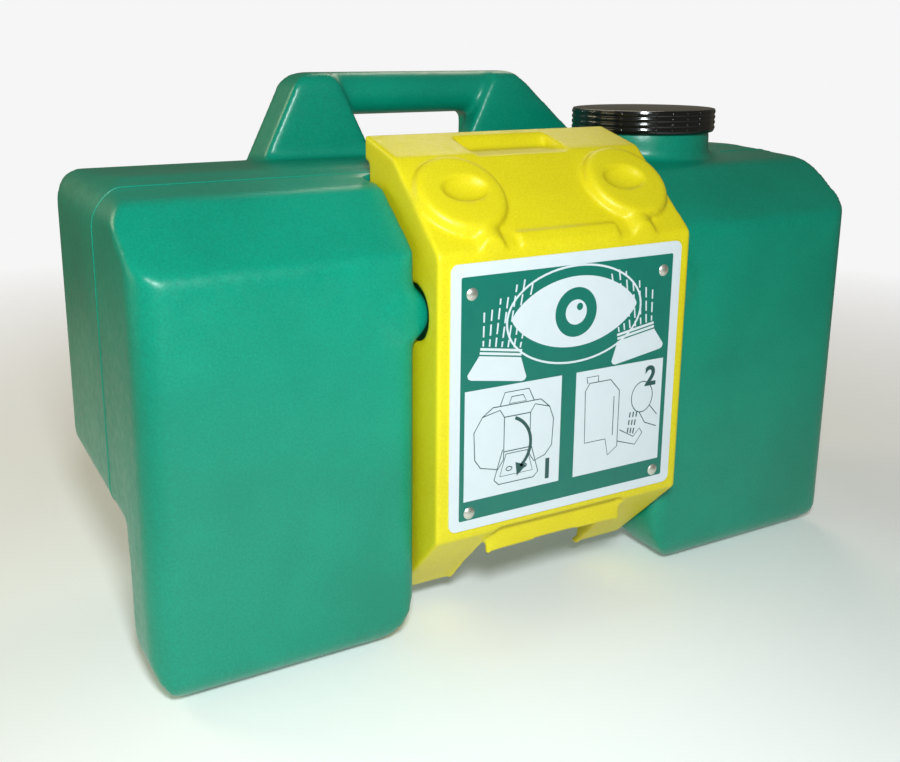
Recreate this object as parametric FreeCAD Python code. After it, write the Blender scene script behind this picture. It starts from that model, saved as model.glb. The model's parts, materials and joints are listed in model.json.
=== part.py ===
"""Portable gravity-fed eyewash station: a hollow moulded tank with a pull-down tray that holds two
spray nozzles. Millimetres. X runs to the user's right, Y to the back and Z up. The origin is on the
flat underside of the tank, on the moulding's parting plane, where the station sits on its shelf."""

import FreeCAD
import Part
import math
import os

V = FreeCAD.Vector

# ---- tank, outside ----
FRONT = -130.0              # front face of the two lobes
BACK = 131.0                # back face
HALF_FRONT = 315.0          # half width at the front face
HALF_SPLIT = 319.0          # half width at the parting plane
HALF_BACK = 318.5           # half width at the back face
RIGHT_MORE = 12.0           # the right lobe, under the cap, is this much wider
TOP_FRONT = 235.0           # top face at its front crease
TOP_SPLIT = 243.0           # top face at the parting plane
TOP_BACK = 238.0            # top face at the back
SLOPE_RUN = 55.0            # the front-top slope, front to back
SLOPE_RISE = 44.0           # the front-top slope, height
FOOT = -115.0               # underside of the lobes' feet
FOOT_BACK = -62.0           # back of the feet, in front of the shelf
WALL = 4.0                  # tank wall
JOIN_Y = -20.0              # where the front and rear shells meet, behind the bay's back wall
SIDE_ROUND = 24.0           # upright front edges of the lobes
BACK_ROUND = 32.0           # upright back edges
TOP_ROUND = 34.0            # top edges along the sides
FOOT_ROUND_OUT = 46.0       # lower outer corner of a lobe
FOOT_ROUND_IN = 56.0        # lower inner corner of a lobe
FOOT_ROUND_LOW = 26.0       # lower front and back edges of a foot
FOOT_RISE = 12.0            # the foot's underside rises this much to the back
FOOT_LEAN = 6.0             # its back face leans forward this much on the way down

# ---- bay between the lobes ----
BAY_HALF = 115.0            # half width of the bay that takes the tray
BAY_BACK = -38.0            # back wall of the bay
BAY_LIP_ROUND = 13.0        # inner front edges of the lobes
KNOB_Z = 148.0              # round detent knobs, and how far they stand into the bay
KNOB_Y = -117.0
KNOB_RADIUS = 22.0
KNOB_REACH = 12.0
KNOB_CLEAR = 2.5            # room round a knob in the tray's side

# ---- carrying handle, moulded with the tank ----
GRIP_FRONT = 82.0           # front of the handle's legs
GRIP_TOP = 313.0
GRIP_BACK = 128.0
GRIP_BAR = 38.0             # thickness of the bar, flush with the legs at the back
BAR_END = 90.0              # the bar ends inside the legs
GRIP_LEFT = (-163.0, -115.0, 22.0)  # outer edge of the left leg: low down, at the top, its round
GRIP_RIGHT = (200.0, 104.0, 8.0)    # outer edge of the right leg
GRIP_HOLE_HALF = 66.0       # half width of the hand opening
GRIP_HOLE_LOW = 240.0
GRIP_ROUND = 13.0
POCKET_LOW = 46.0           # half width between the legs in front of the bar, low down
POCKET_HIGH = 92.0          # and just above the bar
GRIP_JOIN = 244.0           # where the hollow legs meet the rear shell

# ---- filler neck and cap ----
NECK_X = 190.0
NECK_Y = 0.0
COLLAR_RADIUS = 60.0        # shoulder below the cap
COLLAR_TOP = 259.0
NECK_RADIUS = 56.0          # threaded neck
NECK_TOP = 276.3
NECK_BORE = 50.0
THREAD_DEPTH = 1.6
THREAD_PITCH = 8.0
CAP_RADIUS = 64.0
CAP_BOTTOM = 259.8
CAP_TOP = 282.0
CAP_PLATE = 3.4             # top plate of the cap
CAP_GAP = 0.5               # radial room round the thread
LINER = 2.0                 # cap liner thickness
VENT_RADIUS = 7.0           # breather boss in the middle of the cap
VENT_BORE = 2.5

# ---- tray ----
TRAY_GAP = 2.0              # between tray and lobe, each side
TRAY_HALF = BAY_HALF - TRAY_GAP
TRAY_WALL = 4.0
TRAY_FRONT = -153.0         # outside of the front panel
TRAY_LOW = -19.0            # lower edge of the front panel
TRAY_HIGH = 195.0           # upper edge of the front panel
TRAY_SLOPE_Y = -85.0        # upper edge of the sloping panel
TRAY_SLOPE_Z = 256.0
TRAY_REAR_Y = -37.0         # back edge of the top panel
TRAY_REAR_Z = 269.0
TRAY_FOOT_Y = -86.0         # lower edge of the bevelled feet
TRAY_FOOT_Z = -89.0
FLANGE_Y = -112.0           # back edge of the side flanges
RECESS_HALF = 62.0          # sunken panel between the bevelled feet
RECESS_FRONT = -144.0
RECESS_LOW = -40.0
ARCH_RADIUS = 900.0         # its lower edge is slightly arched
DECK_Y = -97.0              # front of the deck that carries the nozzles
DECK_LOW = 172.0
PULL_HALF = 43.0            # finger pull in the top panel
PULL_LONG = 31.0            # its floor, back from the panel's front edge
PULL_RAMP = 11.0            # lean of its back wall
DOME_UP = 50.0              # centre of the moulded domes, up the slope from the front edge
DOME_RADIUS = 36.0
DOME_HEIGHT = 8.0
DOME_ROUND = 6.0            # their rounded edge
DIP_LONG = 19.0             # almond-shaped dip in each dome, half sizes
DIP_WIDE = 12.0
DIP_DEEP = 6.0
TAIL_INSET = 7.0            # moulded ridge below each dome, nearer the middle
TAIL_RADIUS = 12.0
TAIL_HEIGHT = 7.0

# ---- tray pivots, which also carry the water ----
PIVOT_Y = -100.0
PIVOT_Z = -42.0
PIN_RADIUS = 9.0
PIN_BORE = 6.0
RUN_FIT = 0.05              # radial running clearance
SHANK_RADIUS = 11.0         # threaded end in the tank
BOSS_RADIUS = 24.0          # moulded boss inside the foot
BOSS_DEPTH = 17.0
SEAT_DEPTH = 5.0            # sunk seat for the pin's flange
FLANGE_RADIUS = 18.0
SEAL = 1.5                  # flat seal under the flange
PIN_REACH = 24.0            # how far the pin stands inside the tray's side
PIN_END_X = TRAY_HALF - PIN_REACH
BUSH_RADIUS = 12.5
BUSH_FLANGE = 2.0
ELBOW_RADIUS = 15.0
ELBOW_FLOOR = 3.0
RING_SECTION = 1.5          # O-ring cord radius

# ---- nozzles and hoses ----
NOZZLE_INSET = 38.0         # nozzle's middle, in from the tray's side
NOZZLE_X = TRAY_HALF - NOZZLE_INSET
NOZZLE_Z = 200.0
NOZZLE_RADIUS = 11.0        # threaded barrel through the deck
HEAD_RADIUS = 19.0
HEAD_DEPTH = 13.0
SPRAY_HOLES = 8
SPRAY_HOLE = 1.4
HOSE_RADIUS = 9.0
HOSE_BORE = 6.5
BARB = 14.0                 # length of hose pushed on to a barb
CLAMP_WIDTH = 9.0
CLAMP_THICK = 1.2

# ---- sign ----
SIGN_MARGIN = 9.5           # from the sign's edge to the tray's side
SIGN_HALF = TRAY_HALF - SIGN_MARGIN
SIGN_LOW = -12.0
SIGN_HIGH = 188.0
SIGN_THICK = 1.2
SIGN_ROUND = 6.0
RIVET_INSET_X = 17.0
RIVET_INSET_LOW = 13.0
RIVET_INSET_HIGH = 22.0
RIVET_HEAD = 4.8
RIVET_SHANK = 2.4


def place(axis, u, v, w=0.0):
    """A point given in the plane square to an axis, w along it."""
    return {"x": V(w, u, v), "y": V(u, w, v), "z": V(u, v, w)}[axis]


def slab(corners, axis, low, high):
    """A prism along an axis over an outline of corners (u, v, radius)."""
    edges, last, first = [], None, None
    count = len(corners)
    for i, (u, v, radius) in enumerate(corners):
        here = V(u, v, 0)
        back = V(*corners[i - 1][:2], 0) - here
        on = V(*corners[(i + 1) % count][:2], 0) - here
        back.normalize()
        on.normalize()
        if radius > 0:
            half = back.getAngle(on) / 2
            reach = radius / math.tan(half)
            middle = back + on
            middle.normalize()
            start, end = here + back * reach, here + on * reach
            crown = here + middle * (radius / math.sin(half) - radius)
        else:
            start = end = here
        points = [place(axis, p.x, p.y, low) for p in (start, end)]
        if last is not None and last.distanceToPoint(points[0]) > 1e-6:
            edges.append(Part.LineSegment(last, points[0]).toShape())
        if radius > 0:
            edges.append(Part.Arc(points[0], place(axis, crown.x, crown.y, low), points[1]).toShape())
        first = first or points[0]
        last = points[1]
    if last.distanceToPoint(first) > 1e-6:
        edges.append(Part.LineSegment(last, first).toShape())
    face = Part.Face(Part.Wire(edges))
    return face.extrude(place(axis, 0, 0, high - low))


def box(x, y, z):
    return Part.makeBox(x[1] - x[0], y[1] - y[0], z[1] - z[0], V(x[0], y[0], z[0]))


def rod(radius, start, end):
    """A round bar from one point to another."""
    start, end = V(*start), V(*end)
    return Part.makeCylinder(radius, (end - start).Length, start, end - start)


def pipe(outer, inner, start, end):
    return rod(outer, start, end).cut(rod(inner, start, end))


def save(name, shape):
    shape = shape.removeSplitter()
    solids = shape.Solids
    print(f"{name:24s} solids {len(solids)}  volume {shape.Volume / 1000:9.2f} cm3  valid {shape.isValid()}")
    if len(solids) == 1:
        shape = solids[0]
    shape.exportStep(f"parts/{name}.step")


# ------------------------------------------------------------------ tank

def tank_plan(inset):
    """Outline of the tank's upper body from above, with the bay for the tray."""
    r = inset
    return [
        (HALF_FRONT + RIGHT_MORE - r, FRONT + r, SIDE_ROUND - r), (HALF_SPLIT + RIGHT_MORE - r, 0, 0),
        (HALF_BACK + RIGHT_MORE - r, BACK - r, BACK_ROUND - r), (-HALF_BACK + r, BACK - r, BACK_ROUND - r),
        (-HALF_SPLIT + r, 0, 0), (-HALF_FRONT + r, FRONT + r, SIDE_ROUND - r),
        (-BAY_HALF - r, FRONT + r, BAY_LIP_ROUND - r), (-BAY_HALF - r, BAY_BACK + r, 6 + r),
        (BAY_HALF + r, BAY_BACK + r, 6 + r), (BAY_HALF + r, FRONT + r, BAY_LIP_ROUND - r)]


def upper_body(inset):
    r = inset
    low, high = -400.0, 400.0
    side = slab([
        (FRONT + r, r, 0), (FRONT + r, TOP_FRONT - SLOPE_RISE - r / 2, 16 - r),
        (FRONT + SLOPE_RUN + r / 2, TOP_FRONT - r, 14 - r), (0, TOP_SPLIT - r, 0),
        (BACK - r, TOP_BACK - r, 26 - r), (BACK - r, r, 16 - r)], "x", low, high)
    right = HALF_SPLIT + RIGHT_MORE - r
    front = slab([
        (right, r, 24 - r), (right, TOP_SPLIT - r, TOP_ROUND - r),
        (-HALF_SPLIT + r, TOP_SPLIT - r, TOP_ROUND - r), (-HALF_SPLIT + r, r, 24 - r)], "y", low, high)
    plan = slab(tank_plan(inset), "z", low, high)
    return plan.common(side).common(front)


def foot(side, inset):
    """The lower part of a lobe, which hangs in front of the shelf."""
    r = inset
    inner, outer = BAY_HALF + r, HALF_FRONT + (RIGHT_MORE if side > 0 else 0) - r
    reach = 60.0
    front = slab([
        (side * inner, reach, 0), (side * inner, FOOT + r, FOOT_ROUND_IN - r),
        (side * outer, FOOT + r, FOOT_ROUND_OUT - r), (side * (outer + 2.0), reach, 0)], "y", -400, 400)
    profile = slab([
        (FRONT + r, reach, 0), (FRONT + r, FOOT + r, FOOT_ROUND_LOW - r),
        (FOOT_BACK - r - FOOT_LEAN, FOOT + FOOT_RISE + r, FOOT_ROUND_LOW - r),
        (FOOT_BACK - r, reach, 0)], "x", -400, 400)
    plan = slab([
        (side * inner, FRONT + r, BAY_LIP_ROUND - r), (side * inner, FOOT_BACK - r, 10 - r),
        (side * (outer + 2.4), FOOT_BACK - r, 16 - r), (side * outer, FRONT + r, SIDE_ROUND - r)],
        "z", -400, 400)
    return front.common(profile).common(plan)


def handle(inset):
    """A leg each side of the hand opening and a round bar set back between them."""
    r = inset
    base = TOP_BACK - 24.0
    left_low, left_high, left_round = GRIP_LEFT
    right_low, right_high, right_round = GRIP_RIGHT
    outline = slab([
        (left_low + r, base, 0), (left_high + r, GRIP_TOP - r, left_round - r),
        (right_high - r, GRIP_TOP - r, right_round - r), (right_low - r, base + 16, 0),
        (right_low - r, base, 0)], "y", -400, 400)
    profile = slab([
        (GRIP_FRONT + r, base, 0), (GRIP_FRONT + r, GRIP_TOP - r, GRIP_ROUND - r),
        (GRIP_BACK - r, GRIP_TOP - r, GRIP_ROUND - r), (GRIP_BACK + 2 - r, base, 0)], "x", -400, 400)
    shape = outline.common(profile)
    middle_y = GRIP_BACK - GRIP_BAR / 2
    hole = slab([
        (-GRIP_HOLE_HALF - r, GRIP_HOLE_LOW - r, 6 + r), (GRIP_HOLE_HALF + r, GRIP_HOLE_LOW - r, 6 + r),
        (GRIP_HOLE_HALF + r, GRIP_TOP - GRIP_BAR + r, 6 + r),
        (-GRIP_HOLE_HALF - r, GRIP_TOP - GRIP_BAR + r, 6 + r)], "y", middle_y - 3 - r, BACK + 20)
    middle_z = GRIP_TOP - GRIP_BAR / 2
    pocket = slab([
        (-POCKET_LOW - r, GRIP_HOLE_LOW - r, 0), (POCKET_LOW + r, GRIP_HOLE_LOW - r, 0),
        (POCKET_HIGH + r, GRIP_TOP + 20, 0), (-POCKET_HIGH - r, GRIP_TOP + 20, 0)], "y",
        GRIP_FRONT - 20, middle_y + r)
    bar = rod(GRIP_BAR / 2 - r, (-BAR_END, middle_y, middle_z), (BAR_END, middle_y, middle_z))
    shape = shape.cut(hole).cut(pocket)
    return shape.fuse(bar) if GRIP_BAR / 2 > r + 6 else shape


def knob(side):
    """Round detent knob on the inner edge of a lobe, which clips into the tray's side."""
    return Part.makeSphere(KNOB_RADIUS, V(side * (BAY_HALF - KNOB_REACH + KNOB_RADIUS), KNOB_Y, KNOB_Z))


def whole_tank():
    shape = upper_body(0).fuse([foot(-1, 0), foot(1, 0), handle(0)])
    neck_foot = (NECK_X, NECK_Y, TOP_SPLIT - 14)
    shape = shape.fuse(rod(COLLAR_RADIUS, neck_foot, (NECK_X, NECK_Y, COLLAR_TOP)))
    shape = shape.fuse(rod(NECK_RADIUS, neck_foot, (NECK_X, NECK_Y, NECK_TOP)))
    for i in range(2):
        z = COLLAR_TOP + 4.5 + THREAD_PITCH * i
        shape = shape.fuse(rod(NECK_RADIUS + THREAD_DEPTH, (NECK_X, NECK_Y, z), (NECK_X, NECK_Y, z + 2.4)))
    for side in (-1, 1):
        shape = shape.fuse(knob(side))
    cavity = upper_body(WALL).fuse([foot(-1, WALL), foot(1, WALL), handle(WALL)])
    for side in (-1, 1):
        cavity = cavity.cut(rod(BOSS_RADIUS, (side * BAY_HALF, PIVOT_Y, PIVOT_Z),
                                (side * (BAY_HALF + BOSS_DEPTH), PIVOT_Y, PIVOT_Z)))
    shape = shape.cut(cavity)
    shape = shape.cut(rod(NECK_BORE, (NECK_X, NECK_Y, TOP_SPLIT - 30), (NECK_X, NECK_Y, NECK_TOP + 1)))
    for side in (-1, 1):
        face, floor = side * BAY_HALF, side * (BAY_HALF + SEAT_DEPTH)
        end = side * (BAY_HALF + BOSS_DEPTH + 1)
        shape = shape.cut(rod(FLANGE_RADIUS + 1.5, (face - side, PIVOT_Y, PIVOT_Z), (floor, PIVOT_Y, PIVOT_Z)))
        shape = shape.cut(rod(SHANK_RADIUS, (face, PIVOT_Y, PIVOT_Z), (end, PIVOT_Y, PIVOT_Z)))
    return shape


def neck_at(z):
    return (NECK_X, NECK_Y, z)


def tank_pieces():
    """The one moulding as four touching pieces, so that its hollow, neck and hand opening stay open."""
    shell = whole_tank()
    neck_zone = rod(COLLAR_RADIUS, neck_at(TOP_SPLIT - 20), neck_at(NECK_TOP + 1))
    across = (-HALF_SPLIT - 1, HALF_SPLIT + RIGHT_MORE + 1)
    grip_zone = box(across, (GRIP_FRONT - WALL, BACK + WALL), (GRIP_JOIN, GRIP_TOP + 1))
    front_zone = box(across, (FRONT - 1, JOIN_Y), (FOOT - 1, GRIP_TOP))
    body = shell.cut(neck_zone).cut(grip_zone)
    return {
        "tank_front": body.common(front_zone), "tank_rear": body.cut(front_zone),
        "filler_neck": shell.common(neck_zone), "carry_handle": shell.common(grip_zone)}


# ------------------------------------------------------------------ filler cap

def fill_cap():
    """Screw cap: a ribbed skirt, a top plate and a boss that holds the breather."""
    room = NECK_RADIUS + THREAD_DEPTH + CAP_GAP
    shape = rod(CAP_RADIUS, neck_at(CAP_BOTTOM), neck_at(CAP_TOP))
    rim = [e for e in shape.Edges if abs(e.CenterOfMass.z - CAP_TOP) < 0.01 and e.Closed]
    shape = shape.makeFillet(2.0, rim)
    shape = shape.cut(rod(room, neck_at(CAP_BOTTOM - 1), neck_at(CAP_TOP - CAP_PLATE)))
    boss_top = CAP_TOP - CAP_PLATE - LINER - 4
    shape = shape.fuse(rod(VENT_RADIUS + 2.5, neck_at(boss_top), neck_at(CAP_TOP - 1)))
    shape = shape.cut(rod(VENT_RADIUS, neck_at(boss_top - 1), neck_at(boss_top + 5)))
    return shape.cut(rod(VENT_BORE, neck_at(boss_top), neck_at(CAP_TOP + 1)))


def cap_liner():
    """Flat rubber liner that seals the cap on the neck's rim."""
    top = CAP_TOP - CAP_PLATE
    return pipe(NECK_RADIUS + THREAD_DEPTH, VENT_RADIUS + 3.5, neck_at(top - LINER), neck_at(top))


def vent_disc():
    """Porous breather disc that lets air in as the water runs out."""
    low = CAP_TOP - CAP_PLATE - LINER - 4
    return rod(VENT_RADIUS, neck_at(low + 2.5), neck_at(low + 5))


def vent_retainer():
    low = CAP_TOP - CAP_PLATE - LINER - 4
    return pipe(VENT_RADIUS, VENT_RADIUS - 2.5, neck_at(low), neck_at(low + 2.5))


# ------------------------------------------------------------------ tray

SLOPE_LONG = math.hypot(TRAY_SLOPE_Y - TRAY_FRONT, TRAY_SLOPE_Z - TRAY_HIGH)
SLOPE_Y = (TRAY_SLOPE_Y - TRAY_FRONT) / SLOPE_LONG
SLOPE_Z = (TRAY_SLOPE_Z - TRAY_HIGH) / SLOPE_LONG


def on_slope(x, up, out=0.0):
    """A point on the sloping panel: up it from its front edge, and out from its surface."""
    y = TRAY_FRONT + SLOPE_Y * up - SLOPE_Z * out
    return (x, y, TRAY_HIGH + SLOPE_Z * up + SLOPE_Y * out)


def tray_skin(inset):
    """Closed side profile of the tray, its front skin moved in by inset."""
    r = inset
    return [
        (TRAY_FOOT_Y + 1.4 * r, TRAY_FOOT_Z, 0), (TRAY_FRONT + r, TRAY_LOW + 0.4 * r, 5 - r / 2),
        (TRAY_FRONT + r, TRAY_HIGH - r / 2, 9 - r), (TRAY_SLOPE_Y + r / 3, TRAY_SLOPE_Z - r, 6 - r),
        (TRAY_REAR_Y, TRAY_REAR_Z - r, 0)]


def nozzle_dome(side):
    """Raised dome over a nozzle with the ridge of the hose below it, and the almond-shaped dip to cut in it."""
    x = side * NOZZLE_X
    dome = rod(DOME_RADIUS, on_slope(x, DOME_UP, -2), on_slope(x, DOME_UP, DOME_HEIGHT))
    top = V(*on_slope(x, DOME_UP, DOME_HEIGHT))
    rim = [e for e in dome.Edges if e.Closed and (e.Curve.Center - top).Length < 0.01]
    dome = dome.makeFillet(DOME_ROUND, rim)
    hollow = Part.makeSphere(1.0)
    stretch = FreeCAD.Matrix()
    stretch.scale(V(DIP_LONG, DIP_WIDE, DIP_DEEP))
    hollow = hollow.transformGeometry(stretch)
    tilt = math.degrees(math.atan2(SLOPE_Z, SLOPE_Y))
    hollow.rotate(V(0, 0, 0), V(1, 0, 0), tilt)
    hollow.translate(V(*on_slope(x - side * 3, DOME_UP + 2, DOME_HEIGHT)))
    ridge = TAIL_RADIUS - TAIL_HEIGHT
    tail_x = x - side * TAIL_INSET
    tail = rod(TAIL_RADIUS, on_slope(tail_x, -10, -ridge), on_slope(tail_x, DOME_UP - 3, -ridge))
    head = Part.makeSphere(TAIL_RADIUS, V(*on_slope(tail_x, DOME_UP - 3, -ridge)))
    return dome.fuse([tail, head]), hollow


def tray_hollow():
    """The room inside the tray's skin, between its side flanges."""
    half = TRAY_HALF - TRAY_WALL
    return slab(tray_skin(TRAY_WALL) + [
        (60, TRAY_REAR_Z - TRAY_WALL, 0), (60, TRAY_FOOT_Z - 20, 0),
        (TRAY_FOOT_Y + 1.4 * TRAY_WALL, TRAY_FOOT_Z - 20, 0)], "x", -half, half)


def nozzle_deck():
    """Upright wall across the top of the tray that carries the nozzles."""
    shape = box((-TRAY_HALF, TRAY_HALF), (DECK_Y, DECK_Y + TRAY_WALL), (DECK_LOW, TRAY_REAR_Z))
    shape = shape.common(tray_hollow())
    for side in (-1, 1):
        x = side * NOZZLE_X
        shape = shape.cut(rod(NOZZLE_RADIUS + 0.3, (x, DECK_Y - 1, NOZZLE_Z), (x, DECK_Y + 5, NOZZLE_Z)))
    return shape


def tray():
    shape = slab(tray_skin(0) + [
        (TRAY_REAR_Y, TRAY_REAR_Z - 20, 3), (BAY_BACK - 6, TRAY_REAR_Z - 20, 3),
        (BAY_BACK - 6, 226, 8), (FLANGE_Y, 177, 12), (FLANGE_Y, -8, 12), (PIVOT_Y + 22, PIVOT_Z + 22, 10),
        (PIVOT_Y + 24, TRAY_FOOT_Z + 8, 6)], "x", -TRAY_HALF, TRAY_HALF)
    domes = [nozzle_dome(side) for side in (-1, 1)]
    inner_half = TRAY_HALF - TRAY_WALL
    hollow = tray_hollow()
    keep = slab(tray_skin(0) + [(60, TRAY_REAR_Z, 0), (60, TRAY_FOOT_Z, 0)], "x", -400, 400)
    in_front = box((-400, 400), (TRAY_FRONT, 400), (-400, 400))
    shape = shape.cut(hollow)
    for dome, dip in domes:
        shape = shape.fuse(dome.cut(hollow).common(in_front)).cut(dip)
    step = slab([
        (TRAY_FRONT, TRAY_HIGH - 10, 0), (TRAY_FRONT, TRAY_HIGH + 3, 2),
        (TRAY_FRONT + 8, TRAY_HIGH + 13, 2), (TRAY_FRONT + 12, TRAY_HIGH + 2, 0),
        (TRAY_FRONT + 3, TRAY_HIGH - 10, 0)], "x", -44, 44)
    shape = shape.fuse(step)
    recess = slab([
        (-RECESS_HALF, TRAY_FOOT_Z - 20, 0), (-RECESS_HALF, TRAY_LOW + 2, 8),
        (RECESS_HALF, TRAY_LOW + 2, 8), (RECESS_HALF, TRAY_FOOT_Z - 20, 0)], "y", TRAY_FRONT - 5, 40)
    panel = slab([
        (-RECESS_HALF - 1, TRAY_LOW + 6, 0), (-RECESS_HALF - 1, RECESS_LOW - 6, 0),
        (RECESS_HALF + 1, RECESS_LOW - 6, 0), (RECESS_HALF + 1, TRAY_LOW + 6, 0)],
        "y", RECESS_FRONT, RECESS_FRONT + TRAY_WALL)
    arch = rod(ARCH_RADIUS, (0, RECESS_FRONT - 20, RECESS_LOW - ARCH_RADIUS),
               (0, RECESS_FRONT + 20, RECESS_LOW - ARCH_RADIUS))
    ledge = box((-RECESS_HALF, RECESS_HALF), (TRAY_FRONT + 1, RECESS_FRONT + 2), (TRAY_LOW + 1, TRAY_LOW + 5))
    cheeks = [slab([
        (TRAY_FRONT + 2, TRAY_LOW + 3, 0), (TRAY_FOOT_Y - 4, TRAY_FOOT_Z + 1, 0),
        (TRAY_FOOT_Y - 4, TRAY_FOOT_Z + 16, 0), (RECESS_FRONT + TRAY_WALL + 6, TRAY_LOW + 3, 0)], "x",
        side * RECESS_HALF, side * (RECESS_HALF + 3.5)) for side in (-1, 1)]
    shape = shape.cut(recess).fuse([panel.cut(arch), ledge] + cheeks)
    pull_end = TRAY_SLOPE_Y + PULL_LONG
    pull = slab([
        (TRAY_SLOPE_Y - 8, TRAY_SLOPE_Z - 2, 0), (pull_end, TRAY_SLOPE_Z - 1, 0),
        (pull_end + PULL_RAMP, TRAY_REAR_Z + 6, 0), (TRAY_SLOPE_Y - 8, TRAY_REAR_Z + 6, 0)], "x",
        -PULL_HALF, PULL_HALF)
    pull_block = slab([
        (TRAY_SLOPE_Y - 6, TRAY_SLOPE_Z - 2 - TRAY_WALL, 0), (TRAY_SLOPE_Y - 6, TRAY_REAR_Z + 1, 0),
        (pull_end + PULL_RAMP + TRAY_WALL, TRAY_REAR_Z + 1, 0),
        (pull_end + PULL_RAMP + TRAY_WALL, TRAY_REAR_Z - 2, 0),
        (pull_end + TRAY_WALL, TRAY_SLOPE_Z - 1 - TRAY_WALL, 0)], "x", -PULL_HALF - TRAY_WALL, PULL_HALF + TRAY_WALL)
    shape = shape.fuse(pull_block.common(keep)).cut(pull)
    knob_depth = KNOB_RADIUS - KNOB_REACH + TRAY_GAP
    notch = math.sqrt(KNOB_RADIUS ** 2 - knob_depth ** 2) + KNOB_CLEAR
    for side in (-1, 1):
        out, inn = side * (TRAY_HALF + 1), side * (inner_half - 1)
        shape = shape.cut(rod(notch, (out, KNOB_Y, KNOB_Z), (inn, KNOB_Y, KNOB_Z)))
        shape = shape.cut(rod(BUSH_RADIUS, (out, PIVOT_Y, PIVOT_Z), (inn, PIVOT_Y, PIVOT_Z)))
    for x, z in rivet_places():
        shape = shape.cut(rod(RIVET_SHANK, (x, TRAY_FRONT - 1, z), (x, TRAY_FRONT + 6, z)))
    return shape


# ------------------------------------------------------------------ sign

def rivet_places():
    across = SIGN_HALF - RIVET_INSET_X
    return [(x, z) for x in (-across, across) for z in (SIGN_LOW + RIVET_INSET_LOW, SIGN_HIGH - RIVET_INSET_HIGH)]


def sign_plate():
    shape = slab([
        (SIGN_HALF, SIGN_LOW, SIGN_ROUND), (SIGN_HALF, SIGN_HIGH, SIGN_ROUND),
        (-SIGN_HALF, SIGN_HIGH, SIGN_ROUND), (-SIGN_HALF, SIGN_LOW, SIGN_ROUND)],
        "y", TRAY_FRONT - SIGN_THICK, TRAY_FRONT)
    for x, z in rivet_places():
        shape = shape.cut(rod(RIVET_SHANK, (x, TRAY_FRONT - 3, z), (x, TRAY_FRONT + 1, z)))
    return shape


def sign_rivets():
    rise = 2.0
    ball = (RIVET_HEAD ** 2 + rise ** 2) / (2 * rise)
    face = TRAY_FRONT - SIGN_THICK
    rivets = []
    for x, z in rivet_places():
        head = Part.makeSphere(ball, V(x, face - rise + ball, z))
        head = head.common(rod(RIVET_HEAD + 1, (x, face - 5, z), (x, face, z)))
        shank = rod(RIVET_SHANK, (x, face - 0.5, z), (x, TRAY_FRONT + TRAY_WALL + 1, z))
        tail = rod(RIVET_HEAD, (x, TRAY_FRONT + TRAY_WALL, z), (x, TRAY_FRONT + TRAY_WALL + 1.6, z))
        rivets.append(head.fuse([shank, tail]).removeSplitter())
    return Part.makeCompound(rivets)


# ------------------------------------------------------------------ pivots

SEAT_X = BAY_HALF + SEAT_DEPTH
FLANGE_IN = SEAT_X - SEAL - 3.2          # inner face of the pin's flange
BUSH_OUT = TRAY_HALF + 0.3
BUSH_IN = TRAY_HALF - TRAY_WALL - BUSH_FLANGE
ELBOW_OUT = BUSH_IN - 0.3
ELBOW_IN = PIN_END_X - 1.0 - ELBOW_FLOOR
SPIGOT_X = (ELBOW_OUT + ELBOW_IN) / 2
SPIGOT_TOP = PIVOT_Z + ELBOW_RADIUS + 3 + BARB


def at_pivot(side, x):
    return (side * x, PIVOT_Y, PIVOT_Z)


def pivot_pin(side):
    """Hollow pin screwed into the foot: the tray turns on it and the water leaves through it."""
    shape = rod(SHANK_RADIUS, at_pivot(side, BAY_HALF + BOSS_DEPTH + 3), at_pivot(side, SEAT_X - SEAL))
    shape = shape.fuse(rod(FLANGE_RADIUS, at_pivot(side, SEAT_X - SEAL), at_pivot(side, FLANGE_IN)))
    shape = shape.fuse(rod(PIN_RADIUS, at_pivot(side, FLANGE_IN), at_pivot(side, PIN_END_X)))
    groove_x = ELBOW_OUT - 6
    groove = pipe(PIN_RADIUS + 1, PIN_RADIUS - RING_SECTION, at_pivot(side, groove_x), at_pivot(side, groove_x - 4))
    bore = rod(PIN_BORE, at_pivot(side, BAY_HALF + BOSS_DEPTH + 4), at_pivot(side, PIN_END_X - 1))
    return shape.cut(groove).cut(bore)


def pin_seal(side):
    return pipe(FLANGE_RADIUS - 1, SHANK_RADIUS, at_pivot(side, SEAT_X), at_pivot(side, SEAT_X - SEAL))


def pin_ring(side):
    """O-ring in the pin's groove, which seals the turning elbow."""
    section = (PIN_RADIUS + RUN_FIT - (PIN_RADIUS - RING_SECTION)) / 2 - 0.02
    ring = Part.makeTorus(PIN_RADIUS - RING_SECTION + section, section,
                          V(*at_pivot(side, ELBOW_OUT - 8)), V(1, 0, 0))
    return ring


def tray_bush(side):
    """Bush in the tray's ear that turns on the pin."""
    shape = pipe(BUSH_RADIUS, PIN_RADIUS + RUN_FIT, at_pivot(side, BUSH_OUT), at_pivot(side, BUSH_IN))
    inner = TRAY_HALF - TRAY_WALL
    return shape.fuse(pipe(BUSH_RADIUS + 3, PIN_RADIUS + RUN_FIT, at_pivot(side, inner), at_pivot(side, BUSH_IN)))


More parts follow.
